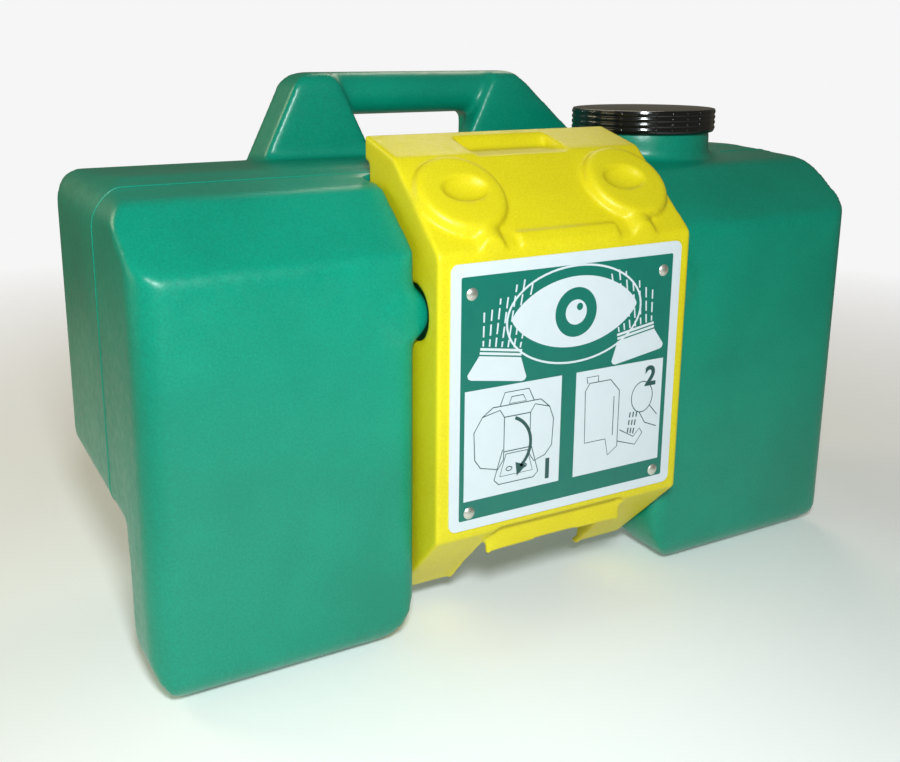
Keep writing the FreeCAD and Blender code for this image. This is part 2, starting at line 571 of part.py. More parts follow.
def swivel_elbow(side):
    """Elbow that turns on the pin with the tray and sends the water up the hose."""
    shape = rod(ELBOW_RADIUS, at_pivot(side, ELBOW_OUT), at_pivot(side, ELBOW_IN))
    x = side * SPIGOT_X
    shape = shape.fuse(rod(HOSE_BORE, (x, PIVOT_Y, PIVOT_Z), (x, PIVOT_Y, SPIGOT_TOP)))
    shape = shape.fuse(rod(HOSE_BORE + 3.5, (x, PIVOT_Y, PIVOT_Z), (x, PIVOT_Y, PIVOT_Z + ELBOW_RADIUS + 3)))
    shape = shape.cut(rod(PIN_RADIUS + RUN_FIT, at_pivot(side, ELBOW_OUT + 1), at_pivot(side, PIN_END_X - 1)))
    return shape.cut(rod(HOSE_BORE - 2, (x, PIVOT_Y, PIVOT_Z), (x, PIVOT_Y, SPIGOT_TOP + 1)))


# ------------------------------------------------------------------ nozzles

SHOULDER_Y = DECK_Y + TRAY_WALL           # face of the deck the head rests on
HEAD_Y = SHOULDER_Y + HEAD_DEPTH
INLET_Y = DECK_Y - 16.0
SPIGOT_LOW = NOZZLE_Z - NOZZLE_RADIUS - 3 - BARB


def at_nozzle(side, y):
    return (side * NOZZLE_X, y, NOZZLE_Z)


def nozzle_body(side):
    """Barrel through the deck with a shoulder in front and a hose spigot below."""
    shape = rod(NOZZLE_RADIUS, at_nozzle(side, INLET_Y - 9), at_nozzle(side, SHOULDER_Y + 7))
    shape = shape.fuse(rod(HEAD_RADIUS, at_nozzle(side, SHOULDER_Y), at_nozzle(side, SHOULDER_Y + 4)))
    x = side * NOZZLE_X
    shape = shape.fuse(rod(HOSE_BORE, (x, INLET_Y, NOZZLE_Z), (x, INLET_Y, SPIGOT_LOW)))
    shape = shape.fuse(rod(HOSE_BORE + 2.5, (x, INLET_Y, NOZZLE_Z), (x, INLET_Y, NOZZLE_Z - NOZZLE_RADIUS - 3)))
    shape = shape.cut(rod(NOZZLE_RADIUS - 3, at_nozzle(side, INLET_Y - 6), at_nozzle(side, SHOULDER_Y + 8)))
    return shape.cut(rod(HOSE_BORE - 2, (x, INLET_Y, NOZZLE_Z), (x, INLET_Y, SPIGOT_LOW - 1)))


def nozzle_nut(side):
    corners = [(math.cos(math.radians(60 * i)), math.sin(math.radians(60 * i))) for i in range(6)]
    across = 17.0
    shape = slab([(side * NOZZLE_X + across * u, NOZZLE_Z + across * v, 0) for u, v in corners], "y",
                 DECK_Y - 5, DECK_Y)
    return shape.cut(rod(NOZZLE_RADIUS, at_nozzle(side, DECK_Y - 6), at_nozzle(side, DECK_Y + 1)))


def spray_head(side):
    """Cap of the nozzle: a ring of small holes round a middle one."""
    shape = rod(HEAD_RADIUS, at_nozzle(side, SHOULDER_Y + 4), at_nozzle(side, HEAD_Y))
    rim = [e for e in shape.Edges if abs(e.CenterOfMass.y - HEAD_Y) < 0.01 and e.Closed]
    shape = shape.makeFillet(3.0, rim)
    shape = shape.cut(rod(NOZZLE_RADIUS, at_nozzle(side, SHOULDER_Y), at_nozzle(side, HEAD_Y - 3)))
    x = side * NOZZLE_X
    for i in range(SPRAY_HOLES):
        turn = 2 * math.pi * i / SPRAY_HOLES
        u, v = 6.5 * math.cos(turn), 6.5 * math.sin(turn)
        shape = shape.cut(rod(SPRAY_HOLE, (x + u, HEAD_Y - 5, NOZZLE_Z + v), (x + u, HEAD_Y + 1, NOZZLE_Z + v)))
    return shape.cut(rod(SPRAY_HOLE, at_nozzle(side, HEAD_Y - 5), at_nozzle(side, HEAD_Y + 1)))


def strainer(side):
    """Foam disc behind the spray holes, which softens the stream."""
    return rod(NOZZLE_RADIUS, at_nozzle(side, SHOULDER_Y + 7), at_nozzle(side, HEAD_Y - 3))


# ------------------------------------------------------------------ hoses

def hose_route(side):
    """Points of the hose's middle line, from the elbow to the nozzle."""
    start, end = V(side * SPIGOT_X, PIVOT_Y, SPIGOT_TOP - BARB), V(side * NOZZLE_X, INLET_Y, SPIGOT_LOW + BARB)
    rise = end.z - start.z
    return [start, start + V(0, 0, 0.22 * rise), V((start.x + end.x) / 2, PIVOT_Y - 21, start.z + 0.50 * rise),
            end - V(0, 0, 0.24 * rise), end]


def swept(points, outer, inner):
    """A tube along straight runs joined by tangent arcs."""
    edges, last = [], points[0]
    for before, here, after in zip(points, points[1:], points[2:]):
        back, on = before - here, after - here
        run = min(back.Length, on.Length)
        back.normalize()
        on.normalize()
        reach = 0.45 * run
        start, end = here + back * reach, here + on * reach
        middle = back + on
        middle.normalize()
        half = back.getAngle(on) / 2
        radius = reach * math.tan(half)
        crown = here + middle * (radius / math.sin(half) - radius)
        edges += [Part.LineSegment(last, start).toShape(), Part.Arc(start, crown, end).toShape()]
        last = end
    edges.append(Part.LineSegment(last, points[-1]).toShape())
    path = Part.Wire(edges)
    tubes = []
    for radius in (outer, inner):
        ring = Part.Wire([Part.Circle(points[0], points[1] - points[0], radius).toShape()])
        tubes.append(path.makePipeShell([ring], True, False))
    return tubes[0].cut(tubes[1])


def hose(side):
    return swept(hose_route(side), HOSE_RADIUS, HOSE_BORE)


def hose_clamps(side):
    """A band clamp over each end of the hose."""
    bands = []
    for x, y, z in ((side * SPIGOT_X, PIVOT_Y, SPIGOT_TOP - BARB / 2),
                    (side * NOZZLE_X, INLET_Y, SPIGOT_LOW + BARB / 2)):
        low, high = (x, y, z - CLAMP_WIDTH / 2), (x, y, z + CLAMP_WIDTH / 2)
        band = pipe(HOSE_RADIUS + CLAMP_THICK, HOSE_RADIUS, low, high)
        lug = box((x - 3, x + 3), (y + HOSE_RADIUS + 0.6, y + HOSE_RADIUS + 6), (low[2] + 1, high[2] - 1))
        bands.append(band.fuse(lug).removeSplitter())
    return Part.makeCompound(bands)


# ------------------------------------------------------------------ build

SINGLE = {
    "fill_cap": fill_cap, "cap_liner": cap_liner, "vent_disc": vent_disc,
    "vent_retainer": vent_retainer, "pull_down_tray": tray, "nozzle_deck": nozzle_deck,
    "sign_plate": sign_plate, "sign_rivets": sign_rivets}
PAIRED = {
    "pivot_pin": pivot_pin, "pin_seal": pin_seal, "pin_ring": pin_ring, "tray_bush": tray_bush,
    "swivel_elbow": swivel_elbow, "nozzle_body": nozzle_body, "nozzle_nut": nozzle_nut,
    "spray_head": spray_head, "strainer": strainer, "hose": hose, "hose_clamps": hose_clamps}

os.makedirs("parts", exist_ok=True)
for name, shape in tank_pieces().items():
    save(name, shape)
for name, make in SINGLE.items():
    save(name, make())
for name, make in PAIRED.items():
    for hand, side in (("left", -1), ("right", 1)):
        save(f"{name}_{hand}", make(side))
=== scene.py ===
"""Portable gravity-fed eyewash station: the visible model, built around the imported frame.
Metres. X to the user's right, Y to the back, Z up."""

import json
import math

import bmesh
import bpy
from bpy.props import FloatProperty, FloatVectorProperty, IntProperty, PointerProperty, StringProperty
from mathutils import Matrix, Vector


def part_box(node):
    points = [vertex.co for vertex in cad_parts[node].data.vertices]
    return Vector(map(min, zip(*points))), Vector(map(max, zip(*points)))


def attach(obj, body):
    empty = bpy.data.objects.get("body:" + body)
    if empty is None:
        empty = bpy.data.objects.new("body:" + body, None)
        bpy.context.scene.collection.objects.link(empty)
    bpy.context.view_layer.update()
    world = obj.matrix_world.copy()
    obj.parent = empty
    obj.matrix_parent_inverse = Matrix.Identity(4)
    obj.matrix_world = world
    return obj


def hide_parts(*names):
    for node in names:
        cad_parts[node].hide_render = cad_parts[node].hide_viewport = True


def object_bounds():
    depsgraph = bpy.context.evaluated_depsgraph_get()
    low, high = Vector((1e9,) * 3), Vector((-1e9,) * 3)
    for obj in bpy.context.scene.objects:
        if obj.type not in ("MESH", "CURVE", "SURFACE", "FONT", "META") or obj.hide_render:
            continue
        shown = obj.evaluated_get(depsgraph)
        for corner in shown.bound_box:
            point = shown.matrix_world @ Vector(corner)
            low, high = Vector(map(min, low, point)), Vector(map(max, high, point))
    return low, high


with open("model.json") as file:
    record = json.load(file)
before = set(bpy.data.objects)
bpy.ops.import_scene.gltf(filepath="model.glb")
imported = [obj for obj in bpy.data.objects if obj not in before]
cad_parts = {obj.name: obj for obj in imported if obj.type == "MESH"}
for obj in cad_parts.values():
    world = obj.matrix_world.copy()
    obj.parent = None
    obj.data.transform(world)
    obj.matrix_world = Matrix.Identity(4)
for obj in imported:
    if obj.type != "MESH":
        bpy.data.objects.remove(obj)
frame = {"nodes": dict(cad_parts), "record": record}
CAD_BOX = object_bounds()

bl_info = {
    "name": "Portable Eyewash Station",
    "version": (1, 0, 0),
    "blender": (4, 5, 0),
    "location": "3D View > Sidebar > Eyewash",
    "description": "Models and finishes a portable gravity-fed eyewash station around its frame",
    "category": "Object",
}

MM = 0.001
TANK_SHELLS = ("tank_front", "tank_rear", "carry_handle")
MESH_LIMIT = 185000         # triangles in one piece
SAME = 0.00005              # places closer than this are the same
LAMPS = (                   # name, place in metres, size in metres, power in watts, colour
    ("key", (-0.42, -0.78, 0.54), 0.14, 8.5, "#F2FCFF"),
    ("side", (-2.0, 0.3, 0.35), 0.9, 4.5, "#FFF0B4"),
    ("back", (0.7, 0.9, 1.1), 0.6, 3.5, "#FFF6E0"),
    ("rear", (-1.7, 1.8, 1.3), 1.0, 15, "#FFF4CC"))


# ------------------------------------------------------------------ sizes and colours

def length(name, description, default):
    return FloatProperty(
        name=name, description=description, default=default, unit="LENGTH", subtype="DISTANCE")


class EyewashTank(bpy.types.PropertyGroup):
    colour: StringProperty(name="Colour", description="Tank polyethylene, sRGB hex", default="#059579")
    shade: StringProperty(
        name="Shade", description="Darker cloud in the moulding, sRGB hex", default="#04846A")
    cell: length("Mesh cell", "Size of the skin's mesh", 3.1 * MM)
    soften: IntProperty(
        name="Softening", description="Rounds of smoothing on the moulded edges", default=9)
    line_radius: length("Parting line", "Half height of the mould's parting line", 0.55 * MM)
    line_y: length("Parting line place", "Where the parting line runs, front to back", -32 * MM)


class EyewashTray(bpy.types.PropertyGroup):
    colour: StringProperty(name="Colour", description="Tray polyethylene, sRGB hex", default="#E6D91A")
    shade: StringProperty(
        name="Shade", description="Warmer cloud in the moulding, sRGB hex", default="#DDCA12")
    cell: length("Mesh cell", "Size of the skin's mesh", 1.75 * MM)
    soften: IntProperty(
        name="Softening", description="Rounds of smoothing on the moulded edges", default=6)


class EyewashCap(bpy.types.PropertyGroup):
    colour: StringProperty(name="Colour", description="Cap plastic, sRGB hex", default="#0A0A0C")
    columns: IntProperty(name="Bead columns", description="Columns of beads round the skirt", default=27)
    bands: IntProperty(name="Bands", description="Rounded bands up the skirt", default=4)
    bulge: length("Band bulge", "How far each band of the skirt stands out", 0.5 * MM)
    crown: length("Crown", "Rise of the domed top", 1.6 * MM)


class EyewashSign(bpy.types.PropertyGroup):
    green: StringProperty(
        name="Green ink", description="Ink of the sign's field, sRGB hex", default="#036A60")
    white: StringProperty(name="Plate", description="Sign plate, sRGB hex", default="#DDE5EA")
    line: StringProperty(name="Line ink", description="Ink of the drawings, sRGB hex", default="#1F4A48")
    print_height: length("Print height", "Height of one printed layer", 0.12 * MM)
    stroke: length("Stroke", "Width of the drawings' lines", 0.8 * MM)


class EyewashStage(bpy.types.PropertyGroup):
    camera_at: FloatVectorProperty(
        name="Camera place", description="Where the camera stands",
        default=(-0.4486, -0.7435, 0.3303), subtype="TRANSLATION", unit="LENGTH")
    pitch: FloatProperty(name="Camera pitch", description="Turn of the camera up from straight down",
                         default=math.radians(76.747), subtype="ANGLE")
    heading: FloatProperty(name="Camera heading", description="Turn of the camera about the upright",
                           default=math.radians(-27.848), subtype="ANGLE")
    lens: FloatProperty(name="Lens", description="Focal length in millimetres", default=40.774)
    shift_x: FloatProperty(name="Shift across", description="Sideways shift of the lens", default=0.0469)
    shift_y: FloatProperty(name="Shift up", description="Upward shift of the lens", default=-0.0990)
    floor: StringProperty(name="Floor", description="Floor colour, sRGB hex", default="#F6F6F4")
    floor_near: length("Floor fade start", "Distance from the middle where the fade starts", 0.45)
    floor_far: length("Floor fade end", "Distance from the middle where the floor is gone", 1.5)
    floor_glow: FloatProperty(
        name="Floor glow", description="Strength of the floor's own light", default=0.12)
    room: StringProperty(
        name="Room", description="Colour of the room's soft light, sRGB hex", default="#FFF7DE")
    room_light: FloatProperty(
        name="Room light", description="Strength of the room's soft light", default=0.13)
    backdrop: FloatProperty(
        name="Backdrop", description="Brightness of the backdrop to the camera", default=0.92)


GROUPS = {"eyewash_tank": EyewashTank, "eyewash_tray": EyewashTray, "eyewash_cap": EyewashCap,
          "eyewash_sign": EyewashSign, "eyewash_stage": EyewashStage}


# ------------------------------------------------------------------ materials

def linear(code):
    """An sRGB hex colour as linear RGBA."""
    values = [int(code[i:i + 2], 16) / 255 for i in (1, 3, 5)]
    return [v / 12.92 if v <= 0.04045 else ((v + 0.055) / 1.055) ** 2.4 for v in values] + [1.0]


def add(tree, kind, sockets=None, **settings):
    """A node with its settings; each socket takes a constant or a link from another node."""
    made = tree.nodes.new(kind)
    for key, value in settings.items():
        setattr(made, key, value)
    for key, value in (sockets or {}).items():
        if isinstance(value, bpy.types.NodeSocket):
            tree.links.new(value, made.inputs[key])
        else:
            made.inputs[key].default_value = value
    return made


def new_material(name):
    made = bpy.data.materials.get(name)
    if made:
        return made, None, None
    made = bpy.data.materials.new(name)
    made.use_nodes = True
    made.node_tree.nodes.clear()
    place = add(made.node_tree, "ShaderNodeTexCoord").outputs["Object"]
    return made, made.node_tree, place


def noise(tree, place, size, detail=3.0):
    """Noise whose features are about this many metres across."""
    return add(tree, "ShaderNodeTexNoise", {
        "Vector": place, "Scale": 1 / size, "Detail": detail}).outputs["Fac"]


def spread(tree, value, low, high, new_low, new_high):
    return add(tree, "ShaderNodeMapRange", {
        "Value": value, "From Min": low, "From Max": high,
        "To Min": new_low, "To Max": new_high}).outputs[0]


def two_tone(tree, share, first, second):
    ramp = add(tree, "ShaderNodeValToRGB", {"Fac": share})
    ramp.color_ramp.elements[0].color = linear(first)
    ramp.color_ramp.elements[1].color = linear(second)
    return ramp.outputs["Color"]


def finish(tree, sockets, height=None, depth=0.0):
    """The shader, its bump and the output."""
    if height is not None:
        sockets["Normal"] = add(tree, "ShaderNodeBump", {
            "Height": height, "Distance": depth, "Strength": 1.0}).outputs["Normal"]
    shader = add(tree, "ShaderNodeBsdfPrincipled", sockets)
    add(tree, "ShaderNodeOutputMaterial", {"Surface": shader.outputs["BSDF"]})


def moulded_polyethylene(name, colour, shade, rough):
    """Moulded polyethylene: satin and faintly waxy, with soft clouds in its colour and the orange-peel
    grain of the mould, drawn 1.6 mm across so that it shows."""
    made, tree, place = new_material(name)
    if tree:
        cloud = noise(tree, place, 0.09)
        grain = noise(tree, place, 1.6 * MM, 2.0)
        peel = noise(tree, place, 7 * MM, 2.0)
        mixed = add(tree, "ShaderNodeMath", {0: cloud, 1: grain}, operation="ADD").outputs[0]
        share = spread(tree, mixed, 0.75, 1.25, 0.0, 1.0)
        height = add(tree, "ShaderNodeMath", {0: grain, 1: peel}, operation="ADD").outputs[0]
        finish(tree, {
            "Base Color": two_tone(tree, share, shade, colour),
            "Roughness": spread(tree, peel, 0.3, 0.7, rough - 0.05, rough + 0.05),
            "IOR": 1.51, "Specular IOR Level": 0.4}, height, 0.07 * MM)
    return made


def moulded_phenolic(name, colour):
    """Glossy compression-moulded phenolic: almost black, with a mirror-like skin that waves a little."""
    made, tree, place = new_material(name)
    if tree:
        wave = noise(tree, place, 6 * MM, 2.0)
        dust = noise(tree, place, 0.7 * MM, 2.0)
        finish(tree, {
            "Base Color": two_tone(tree, dust, colour, "#141416"),
            "Roughness": spread(tree, dust, 0.3, 0.7, 0.10, 0.17), "IOR": 1.6}, wave, 0.03 * MM)
    return made


def printed_vinyl(name, colour, second):
    """Screen ink on a rigid vinyl plate: smooth and slightly glossy, with the ink a little uneven."""
    made, tree, place = new_material(name)
    if tree:
        ink = noise(tree, place, 14 * MM, 4.0)
        film = noise(tree, place, 2.2 * MM, 2.0)
        finish(tree, {
            "Base Color": two_tone(tree, ink, colour, second),
            "Roughness": spread(tree, film, 0.3, 0.7, 0.30, 0.40), "IOR": 1.54}, film, 0.012 * MM)
    return made


def tumbled_aluminium(name):
    """Domed aluminium rivet: tumbled, so dull and very slightly pitted."""
    made, tree, place = new_material(name)
    if tree:
        pit = noise(tree, place, 0.8 * MM)
        finish(tree, {
            "Base Color": two_tone(tree, pit, "#C9C8BE", "#E4E3D8"), "Metallic": 0.85,
            "Roughness": spread(tree, pit, 0.3, 0.7, 0.32, 0.48)}, pit, 0.03 * MM)
    return made


def brushed_stainless(name):
    """Stainless band: brushed round its length, which draws the light into lines."""
    made, tree, place = new_material(name)
    if tree:
        lines = add(tree, "ShaderNodeMapping", {"Vector": place, "Scale": (1.0, 1.0, 30.0)}).outputs[0]
        brush = noise(tree, lines, 6 * MM, 4.0)
        finish(tree, {
            "Base Color": two_tone(tree, brush, "#B4B6B8", "#D2D4D6"), "Metallic": 1.0,
            "Roughness": spread(tree, brush, 0.3, 0.7, 0.24, 0.38)}, brush, 0.02 * MM)
    return made


def moulded_rubber(name):
    """Black EPDM: matt, with a faint grey bloom."""
    made, tree, place = new_material(name)
    if tree:
        bloom = noise(tree, place, 5 * MM, 4.0)
        finish(tree, {
            "Base Color": two_tone(tree, bloom, "#161617", "#242425"),
            "Roughness": spread(tree, bloom, 0.3, 0.7, 0.62, 0.78), "IOR": 1.5}, bloom, 0.05 * MM)
    return made


def machined_acetal(name):
    """Natural acetal: off-white and waxy, with fine turning marks."""
    made, tree, place = new_material(name)
    if tree:
        marks = add(tree, "ShaderNodeTexWave", {
            "Vector": place, "Scale": 1 / (1.2 * MM) / 20,
            "Distortion": 1.0, "Detail": 1.0}).outputs["Fac"]
        cloud = noise(tree, place, 12 * MM)
        finish(tree, {
            "Base Color": two_tone(tree, cloud, "#DADAD2", "#EDEDE6"), "Roughness": 0.32, "IOR": 1.48,
            "Subsurface Weight": 0.1, "Subsurface Scale": 2 * MM}, marks, 0.02 * MM)
    return made


def soft_vinyl(name):
    """Food-grade vinyl hose: milky and smooth, with faint bands from its extrusion."""
    made, tree, place = new_material(name)
    if tree:
        cloud = noise(tree, place, 8 * MM)
        finish(tree, {
            "Base Color": two_tone(tree, cloud, "#C4D0CB", "#DCE6E1"), "IOR": 1.53,
            "Roughness": spread(tree, cloud, 0.3, 0.7, 0.16, 0.26),
            "Subsurface Weight": 0.25, "Subsurface Scale": 3 * MM}, cloud, 0.05 * MM)
    return made


def open_foam(name):
    """Open-cell polyurethane foam with cells about 1 mm across."""
    made, tree, place = new_material(name)
    if tree:
        cells = add(tree, "ShaderNodeTexVoronoi", {
            "Vector": place, "Scale": 1 / (1.0 * MM)}).outputs["Distance"]
        finish(tree, {
            "Base Color": two_tone(tree, cells, "#3C3E3F", "#76797A"),
            "Roughness": 0.9}, cells, 0.4 * MM)
    return made


def slot_material(slot):
    """The finish of each of the record's material slots."""
    look = bpy.context.scene
    return {
        "tank_hdpe": lambda: moulded_polyethylene(
            "tank_polyethylene", look.eyewash_tank.colour, look.eyewash_tank.shade, 0.34),
        "tray_hdpe": lambda: moulded_polyethylene(
            "tray_polyethylene", look.eyewash_tray.colour, look.eyewash_tray.shade, 0.44),
        "cap_plastic": lambda: moulded_phenolic("cap_phenolic", look.eyewash_cap.colour),
        "sign_face": lambda: printed_vinyl("sign_vinyl", look.eyewash_sign.white, "#D5DEE4"),
        "rivet_metal": lambda: tumbled_aluminium("rivet_aluminium"),
        "seal_rubber": lambda: moulded_rubber("seal_epdm"),
        "fitting_plastic": lambda: machined_acetal("fitting_acetal"),
        "hose_vinyl": lambda: soft_vinyl("hose_vinyl"),
        "clamp_steel": lambda: brushed_stainless("clamp_stainless"),
        "spray_plastic": lambda: moulded_polyethylene("spray_polypropylene", "#1C8A66", "#14775A", 0.34),
        "foam": lambda: open_foam("strainer_foam"),
    }[slot]()


# ------------------------------------------------------------------ modelling helpers

def deselect():
    if bpy.context.mode != "OBJECT":
        bpy.ops.object.mode_set(mode="OBJECT")
    bpy.ops.object.select_all(action="DESELECT")


def activate(*objects):
    deselect()
    for each in objects:
        each.select_set(True)
    bpy.context.view_layer.objects.active = objects[0]
    return objects[0]


def join(name, objects):
    """Joins objects into one, which takes the name."""
    made = activate(*objects)
    if len(objects) > 1:
        bpy.ops.object.join()
    made.name = made.data.name = name
    return made


def place_mesh(piece):
    """Moves the object's place, turn and scale into its mesh."""
    activate(piece)
    bpy.ops.object.transform_apply(location=True, rotation=True, scale=True)
    return piece


def dress(piece, body, slot, finish_of=None):
    """Gives a piece its body and one material: the finish given, or else the finish for the record's
    slot.
    """
    piece.data.materials.clear()
    piece.data.materials.append(finish_of or slot_material(slot))
    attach(piece, body)
    return piece


def copy_node(name):
    """A free copy of a CAD node with its loose triangles merged."""
    source = frame["nodes"][name]
    made = bpy.data.objects.new(name + "_copy", source.data.copy())
    bpy.context.scene.collection.objects.link(made)
    activate(made)
    bpy.ops.object.mode_set(mode="EDIT")
    bpy.ops.mesh.select_all(action="SELECT")
    bpy.ops.mesh.remove_doubles(threshold=SAME / 5)
    bpy.ops.object.mode_set(mode="OBJECT")
    return made


def on_plane(axis, value):
    return lambda points: all(abs(p[axis] - value) < SAME for p in points)


def on_tube(centre, radius, across):
    """True of faces on a round wall about a centre, measured across two axes."""
    u, v = across
    return lambda points: all(
        abs(math.hypot(p[u] - centre[u], p[v] - centre[v]) - radius) < SAME * 3 for p in points)


def outer_skin(piece, walls):
    """Deletes the faces that lie on any of the walls, then all but the largest part that is left."""
    activate(piece)
    bpy.ops.object.mode_set(mode="EDIT")
    bpy.ops.mesh.select_mode(type="FACE")
    bpy.ops.mesh.select_all(action="DESELECT")
    mesh = bmesh.from_edit_mesh(piece.data)
    for face in mesh.faces:
        points = [v.co for v in face.verts]
        face.select = any(wall(points) for wall in walls)
    bmesh.update_edit_mesh(piece.data)
    bpy.ops.mesh.delete(type="FACE")
    mesh = bmesh.from_edit_mesh(piece.data)
    seen, parts = set(), []
    for start in mesh.verts:
        if start in seen:
            continue
        part, ahead = [], [start]
        seen.add(start)
        while ahead:
            here = ahead.pop()
            part.append(here)
            for edge in here.link_edges:
                other = edge.other_vert(here)
                if other not in seen:
                    seen.add(other)
                    ahead.append(other)
        spans = [max(p.co[i] for p in part) - min(p.co[i] for p in part) for i in range(3)]
        parts.append((Vector(spans).length, part))
    keep = max(parts, key=lambda item: item[0])[1]
    kept = set(keep)
    bpy.ops.mesh.select_mode(type="VERT")
    bpy.ops.mesh.select_all(action="DESELECT")
    for point in mesh.verts:
        point.select = point not in kept
    bmesh.update_edit_mesh(piece.data)
    bpy.ops.mesh.delete(type="VERT")
    bpy.ops.object.mode_set(mode="OBJECT")


def soften(piece, cell, rounds):
    """Remeshes a closed shape evenly, rounds its edges and keeps it under the limit."""
    activate(piece)
    remesh = piece.modifiers.new("Even mesh", "REMESH")
    remesh.mode, remesh.voxel_size = "VOXEL", cell
    bpy.ops.object.modifier_apply(modifier=remesh.name)
    smooth = piece.modifiers.new("Soft edges", "SMOOTH")
    smooth.factor, smooth.iterations = 0.5, rounds
    bpy.ops.object.modifier_apply(modifier=smooth.name)
    triangles = sum(len(face.vertices) - 2 for face in piece.data.polygons)
    if triangles > MESH_LIMIT:
        thin = piece.modifiers.new("Thin", "DECIMATE")
        thin.ratio = MESH_LIMIT / triangles
        bpy.ops.object.modifier_apply(modifier=thin.name)
    bpy.ops.object.shade_smooth()
    return piece


# ------------------------------------------------------------------ tank

class EYEWASH_OT_tank(bpy.types.Operator):
    """The moulded tank with its handle and neck, as one soft-edged skin"""
    bl_idname = "eyewash.tank"
    bl_label = "Tank"

    def execute(self, context):
        sizes = context.scene.eyewash_tank
        join_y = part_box("tank_rear")[0].y
        grip_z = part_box("carry_handle")[0].z
        neck_low, neck_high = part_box("filler_neck")
        neck = (neck_low + neck_high) / 2
        pin_low, pin_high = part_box("pin_seal_left")
        pin = (pin_low + pin_high) / 2
        shank = 11 * MM             # radius of the holes that the pins go through
        neck_radius = (neck_high.x - neck_low.x) / 2
        walls = [on_plane(1, join_y), on_plane(2, grip_z), on_tube(neck, neck_radius, (0, 1)),
                 on_tube(pin, shank, (1, 2))]
        shells = []
        for name in TANK_SHELLS:
            shells.append(copy_node(name))
            outer_skin(shells[-1], walls)
        body = join("tank_skin", shells)
        bpy.ops.object.mode_set(mode="EDIT")
        bpy.ops.mesh.select_all(action="SELECT")
        bpy.ops.mesh.remove_doubles(threshold=2 * SAME)
        bpy.ops.mesh.fill_holes(sides=0)
        bpy.ops.object.mode_set(mode="OBJECT")
        body = join("tank_skin", [body, copy_node("filler_neck")])
        soften(body, sizes.cell, sizes.soften)
        dress(body, "tank_body", "tank_hdpe")
        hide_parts("filler_neck", *TANK_SHELLS)
        return {"FINISHED"}


class EYEWASH_OT_parting_line(bpy.types.Operator):
    """The low ridge that the mould's parting plane leaves round the tank"""
    bl_idname = "eyewash.parting_line"
    bl_label = "Parting line"

    def execute(self, context):
        radius, line_y = context.scene.eyewash_tank.line_radius, context.scene.eyewash_tank.line_y
        tank = bpy.data.objects["tank_skin"]
        line = bpy.data.objects.new("tank_parting_line", tank.data.copy())
        context.scene.collection.objects.link(line)
        activate(line)
        bpy.ops.object.mode_set(mode="EDIT")
        bpy.ops.mesh.select_all(action="SELECT")
        bpy.ops.mesh.bisect(
            plane_co=(0, line_y, 0), plane_no=(0, 1, 0), clear_inner=True, clear_outer=True)
        bpy.ops.mesh.select_all(action="DESELECT")
        mesh = bmesh.from_edit_mesh(line.data)
        collar, clearance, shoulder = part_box("filler_neck"), 8 * MM, 200 * MM
        for point in mesh.verts:
            x, y, z = point.co
            beside = collar[0].x - clearance < x < collar[1].x + clearance
            under_cap = beside and z > shoulder
            point.select = under_cap or abs(y - line_y) > SAME
        bmesh.update_edit_mesh(line.data)
        bpy.ops.mesh.delete(type="VERT")
        bpy.ops.mesh.select_all(action="SELECT")
        bpy.ops.mesh.delete(type="ONLY_FACE")
        bpy.ops.object.mode_set(mode="OBJECT")
        bpy.ops.object.convert(target="CURVE")
        line.data.bevel_depth = radius
        line.data.bevel_resolution = 1
        line.data.use_fill_caps = True
        bpy.ops.object.convert(target="MESH")
        bpy.ops.object.shade_smooth()
        dress(line, "tank_body", "tank_hdpe")
        return {"FINISHED"}


# ------------------------------------------------------------------ tray

class EYEWASH_OT_tray(bpy.types.Operator):
    """The pull-down tray as one soft-edged skin"""
    bl_idname = "eyewash.tray"
    bl_label = "Tray"

    def execute(self, context):
        sizes = context.scene.eyewash_tray
        tray = join("tray_skin", [copy_node("pull_down_tray")])
        soften(tray, sizes.cell, sizes.soften)
        dress(tray, "tray", "tray_hdpe")
        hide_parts("pull_down_tray")
        return {"FINISHED"}


# ------------------------------------------------------------------ cap

def lathe(name, centre, profile, steps):
    """A turned shape: a circle extruded along a profile of (radius, height), closed at both ends."""
    deselect()
    radius, height = profile[0]
    bpy.ops.mesh.primitive_circle_add(vertices=steps, radius=radius, fill_type="NGON",
                                      location=(centre.x, centre.y, height))
    made = bpy.context.object
    made.name = made.data.name = name
    place_mesh(made)
    bpy.ops.object.mode_set(mode="EDIT")
    bpy.ops.mesh.select_all(action="SELECT")
    for next_radius, next_height in profile[1:]:
        bpy.ops.mesh.extrude_region_move(TRANSFORM_OT_translate={"value": (0, 0, next_height - height)})
        bpy.ops.transform.resize(value=(next_radius / radius, next_radius / radius, 1),
                                 center_override=(centre.x, centre.y, next_height))
        radius, height = next_radius, next_height
    bpy.ops.mesh.select_all(action="SELECT")
    bpy.ops.mesh.normals_make_consistent(inside=False)
    bpy.ops.object.mode_set(mode="OBJECT")
    return made


def arc(start, end, rise, count):
    """Points of a shallow bulge between two profile points, without the last."""
    (r0, z0), (r1, z1) = start, end
    points = []
    for i in range(count):
        t = i / count
        points.append((r0 + (r1 - r0) * t + rise * math.sin(math.pi * t), z0 + (z1 - z0) * t))
    return points


